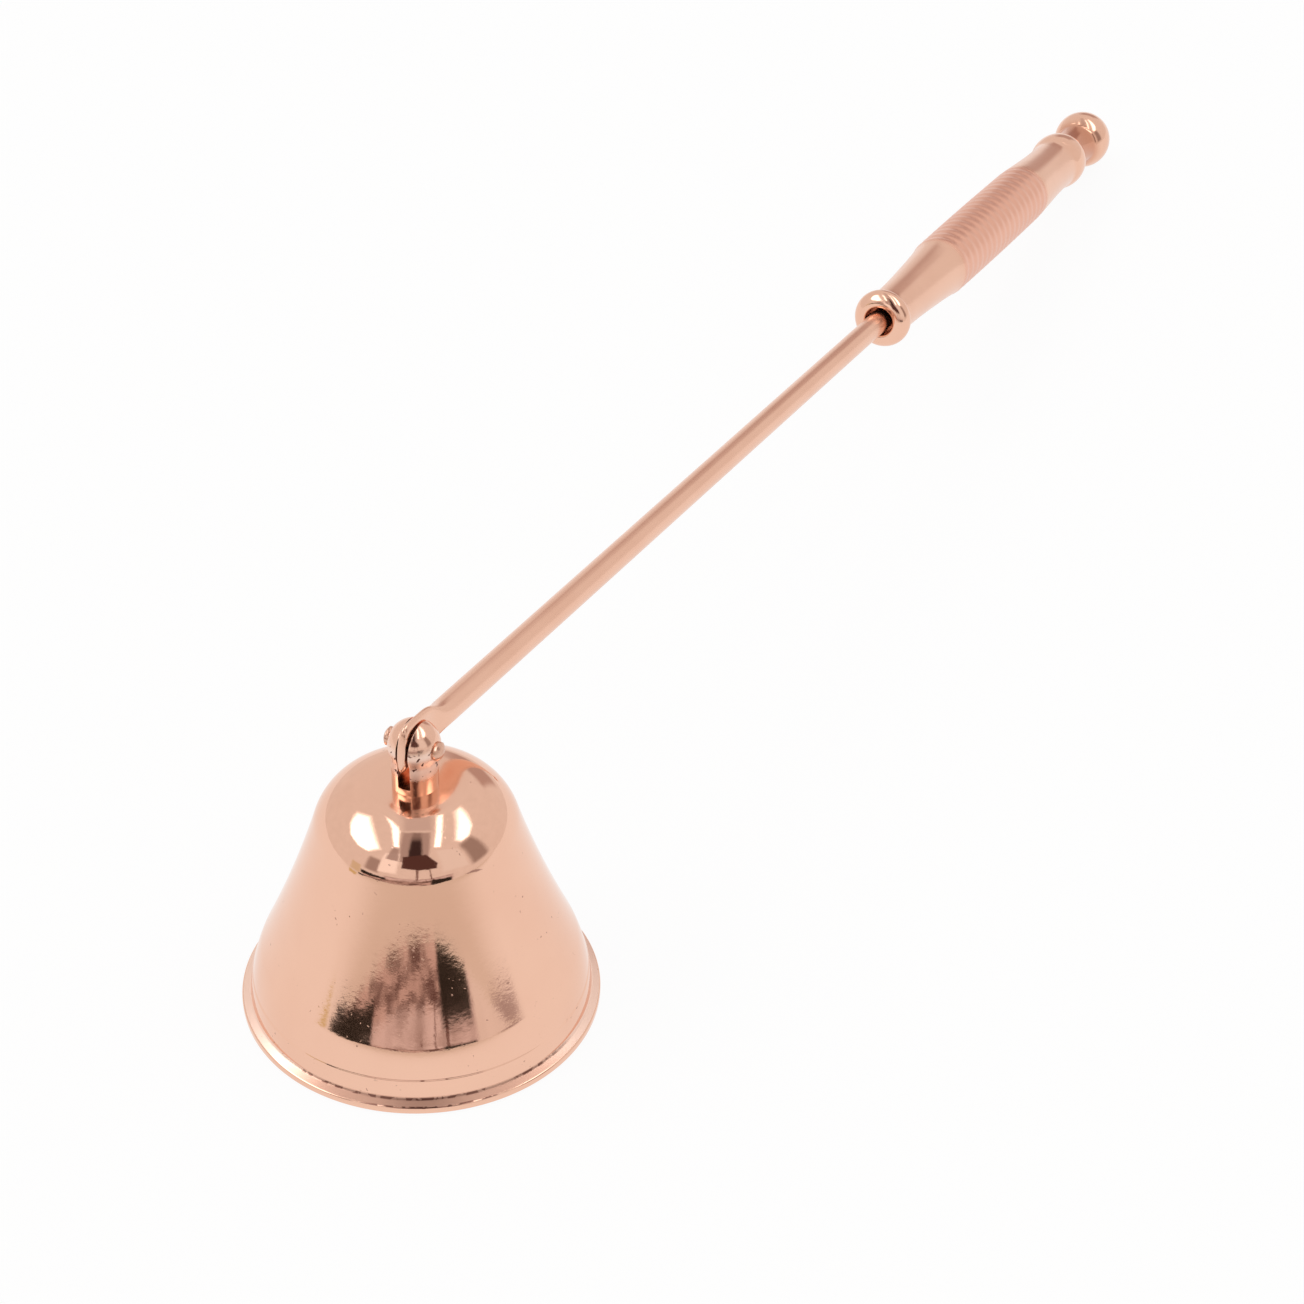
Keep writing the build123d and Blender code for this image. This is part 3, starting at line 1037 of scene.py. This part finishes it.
azimuth = board.node("ShaderNodeMath", {"operation": "ARCTAN2"}, {0: north, 1: east})
azimuth = azimuth * (180 / math.pi)
behind = board.node("ShaderNodeMath", {"operation": "LESS_THAN"}, {0: azimuth, 1: 0.0})
azimuth = azimuth + behind * 360
low_map = board.node("ShaderNodeCombineXYZ", {}, {0: azimuth * 0.085, 1: rise * 48.0, 2: 0.0})
clutter = noise(low_map, 1.0, 2.0, 0.55)
broad = noise(direction, 8.0, 3.0, 0.6)
level = rise + (clutter - 0.5) * 0.02


def between(low, high, soft):
    """1 for azimuths between two values, in degrees."""
    return board.ease(azimuth, low, low + soft) * board.ease(azimuth, high, high - soft)


def band(low, high, soft):
    """1 for directions between two rises."""
    return board.ease(rise, low, low + soft) * board.ease(rise, high, high - soft)


dark_left = between(149, 178, 2.5) * board.ease(level, 0.055, 0.035)
dark_left = dark_left * board.ease(level + (175 - azimuth) * 0.0010, -0.018, -0.009)
dark_right = between(221, 245, 3) * board.ease(level + (azimuth - 228) * 0.0013, 0.040, 0.028)
brown_middle = between(151, 226, 4) * board.ease(level, 0.034, 0.010)
pink_middle = between(173, 247, 4) * board.ease(level, 0.115, 0.085)
brown_right = between(264, 293, 8) * band(0.03, 0.74, 0.12)
brown_left = between(151, 171, 5) * band(0.08, 0.52, 0.08)
yellow_left = between(137, 151, 3) * band(-0.11, 0.16, 0.04)
brown_behind = board.ease(azimuth, 30, 18).most(board.ease(azimuth, 352, 360))
brown_behind = brown_behind * band(0.04, 0.50, 0.10)
print("nodes with the room's edge:", len(studio.node_tree.nodes))

# %% Studio: put the picture together
pink_spots = board.ease(clutter, 0.40, 0.65)
brown_spots = board.ease(clutter, 0.42, 0.58)
boom_end = board.ease(rise, 0.995, 0.93)
pink_tone = board.blend(pink_spots, (0.76, 0.67, 0.68, 1), (0.42, 0.33, 0.32, 1))
brown_tone = board.blend(brown_spots, (0.62, 0.48, 0.45, 1), (0.09, 0.04, 0.035, 1))
boom_tone = board.blend(boom_end, (0.30, 0.24, 0.23, 1), (0.05, 0.03, 0.03, 1))
layers = [
    (broad * 0.4, (0.60, 0.54, 0.50, 1)),
    (brown_right * 0.8, (0.26, 0.19, 0.17, 1)),
    (brown_left * 0.75, (0.28, 0.20, 0.18, 1)),
    (brown_behind * 0.9, (0.50, 0.37, 0.34, 1)),
    (yellow_left * 0.8, (0.69, 0.61, 0.40, 1)),
    (pale_left, grey(1.12)),
    (pale_right, grey(0.88, 0.01)),
    (left_window, grey(3.2)),
    (right_window, grey(3.2)),
    (left_strip, grey(2.8)),
    (right_strip, grey(2.8)),
    (boom_side.most(grey_gap) * 0.9, (0.42, 0.35, 0.34, 1)),
    (past_zenith * 0.8, (0.60, 0.54, 0.53, 1)),
    (boom, boom_tone),
    (stand_card, (0.10, 0.05, 0.045, 1)),
    (pink_middle * 0.95, pink_tone),
    (legs * 0.9, (0.16, 0.08, 0.07, 1)),
    (brown_middle * 0.95, brown_tone),
    (dark_left.most(dark_right), grey(0.025, 0.2)),
]
picture = board.paint_over((0.90, 0.86, 0.84, 1), layers)

camera_ray = board.node("ShaderNodeLightPath", {}, {}, "Is Camera Ray")
around = board.node("ShaderNodeBackground", {}, {"Color": picture, "Strength": 1.0})
plain = board.node("ShaderNodeBackground", {}, {"Color": (1, 1, 1, 1), "Strength": 1.0})
sky = board.node("ShaderNodeMixShader", {}, {0: camera_ray, 1: around, 2: plain})
board.node("ShaderNodeOutputWorld", {}, {"Surface": sky})
print("studio nodes:", len(studio.node_tree.nodes))

# %% [markdown]
# ## The camera
#
# The photograph was taken from close by and from above, from behind the bell and a little to its
# side, with the handle running away to the upper right. The place, the aim and the lens were
# found by fitting a pinhole camera to the bell's outline, the rod and the ball.

# %% Camera
lens = bpy.data.cameras.new("camera")
camera = bpy.data.objects.new("camera", lens)
bpy.context.scene.collection.objects.link(camera)
right = Vector((0.4357143, -0.8999182, 0.0173285))
up = Vector((0.53600508, 0.27488811, 0.79820742))
back = right.cross(up).normalized()
camera.matrix_world = Matrix(
    (
        (right.x, up.x, back.x, -0.19401102),
        (right.y, up.y, back.y, -0.11287569),
        (right.z, up.z, back.z, 0.20688154),
        (0, 0, 0, 1),
    )
)
lens.sensor_width = 36
lens.lens = 93.27
lens.clip_start = 0.005
lens.clip_end = 20
bpy.context.scene.camera = camera
bpy.context.scene.view_settings.view_transform = "Standard"
print(f"camera {camera.location.length * 1000:.0f} mm from the bell, lens {lens.lens} mm")
